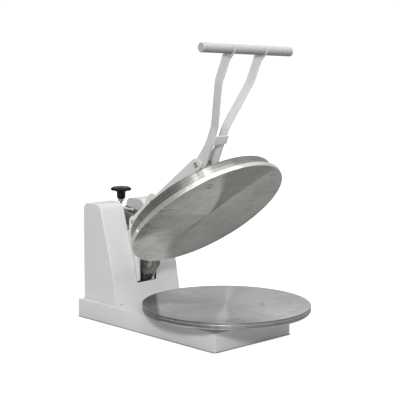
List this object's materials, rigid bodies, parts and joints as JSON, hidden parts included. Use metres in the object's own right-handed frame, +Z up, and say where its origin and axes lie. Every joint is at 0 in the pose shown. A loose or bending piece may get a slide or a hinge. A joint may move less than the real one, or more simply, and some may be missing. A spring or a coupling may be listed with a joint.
{
  "type": "dough press",
  "caption": "Manual swing-up dough press with round flat platens, a T handle on a toggle linkage and a thickness adjusting knob.",
  "frame": {"origin": "on the counter surface, straight below the middle of the whole press's bounding box", "axes": "+Z up, -Y towards the operator at the handle side, +X to the operator's right when facing +Y"},
  "size_m": [0.4572, 0.6975, 0.7936],
  "materials": {
    "powder_white": "fine orange-peel powder coat, semi gloss",
    "aluminium": "turned and fine brushed",
    "zinc_steel": "bright zinc plated",
    "dark_casting": "blackened, slightly rough",
    "spring_steel": "oiled dark",
    "bronze": "sintered",
    "black_plastic": "moulded phenolic, satin",
    "rubber": "matt"
  },
  "bodies": {
    "base": {"base_pan": "powder_white", "foot_front_left": "rubber", "foot_front_right": "rubber", "foot_rear_left": "rubber", "foot_rear_right": "rubber", "housing": "powder_white", "housing_screw_left": "zinc_steel", "housing_screw_right": "zinc_steel", "frame_floor_plate": "dark_casting", "frame_plate_left": "powder_white", "frame_plate_right": "powder_white", "frame_tie_rod": "zinc_steel", "hinge_shaft": "zinc_steel", "hinge_bush_left": "bronze", "hinge_bush_right": "bronze", "counter_spring_left": "spring_steel", "counter_spring_right": "spring_steel", "lever_fulcrum_bolt": "zinc_steel", "lever_fulcrum_nut": "zinc_steel", "screw_bearing_block": "dark_casting", "block_bolt": "zinc_steel", "lower_platen": "aluminium", "platen_riser": "dark_casting"},
    "arm": {"press_arm": "dark_casting", "arm_bar_left": "powder_white", "arm_bar_right": "powder_white", "arm_rear_bolt": "zinc_steel", "arm_rear_spacer_left": "zinc_steel", "arm_rear_spacer_right": "zinc_steel", "platen_bracket": "dark_casting", "platen_bolt_1": "zinc_steel", "platen_bolt_2": "zinc_steel", "platen_bolt_3": "zinc_steel", "platen_bolt_4": "zinc_steel", "bracket_bolt_front": "zinc_steel", "bracket_bolt_rear": "zinc_steel", "handle_pivot_bolt": "zinc_steel", "handle_pivot_nut": "zinc_steel", "pivot_spacer_left": "dark_casting", "pivot_spacer_right": "dark_casting", "pivot_bush_left": "bronze", "pivot_bush_right": "bronze", "upper_disc": "aluminium", "upper_pressing_plate": "aluminium"},
    "handle": {"handle_arm_left": "powder_white", "handle_arm_right": "powder_white", "handle_cross_plate": "powder_white", "handle_grip": "powder_white", "grip_plug_left": "powder_white", "grip_plug_right": "powder_white"},
    "toggle": {"toggle_link_left": "zinc_steel", "toggle_link_right": "zinc_steel", "toggle_knee_pin": "zinc_steel"},
    "adjuster": {"lever_plate_left": "dark_casting", "lever_plate_right": "dark_casting", "toggle_ground_pin": "zinc_steel", "trunnion_rod": "zinc_steel"},
    "knob": {"adjusting_knob": "black_plastic", "adjusting_screw": "zinc_steel", "knob_lock_nut": "zinc_steel"}
  },
  "joints": [
    {"name": "arm_hinge", "type": "hinge", "parent": "base", "child": "arm", "pos_m": [0, 0.22685, 0.115], "axis": [1, 0, 0], "range_deg": [0, 40.6]},
    {"name": "handle_pivot", "type": "hinge", "parent": "arm", "child": "handle", "pos_m": [0, -0.03215, 0.465], "axis": [1, 0, 0], "range_deg": [0, 9.95]},
    {"name": "toggle_pivot", "type": "hinge", "parent": "adjuster", "child": "toggle", "pos_m": [0, 0.21985, 0.257], "axis": [1, 0, 0], "range_deg": [-53.9, 0]},
    {"name": "knob_turn", "type": "hinge", "parent": "base", "child": "knob", "pos_m": [0, 0.31785, 0.335], "axis": [0, 0, 1], "range_deg": [-720, 180]},
    {"name": "lever_rock", "type": "hinge", "parent": "base", "child": "adjuster", "pos_m": [0, 0.21985, 0.279], "axis": [1, 0, 0], "range_deg": [-0.9, 3.55]}
  ],
  "couplings": [
    {"joint": "handle_pivot", "follows": "arm_hinge", "ratio": 0.2448},
    {"joint": "toggle_pivot", "follows": "arm_hinge", "ratio": -1.3256},
    {"joint": "lever_rock", "follows": "knob_turn", "ratio": -0.004872}
  ]
}
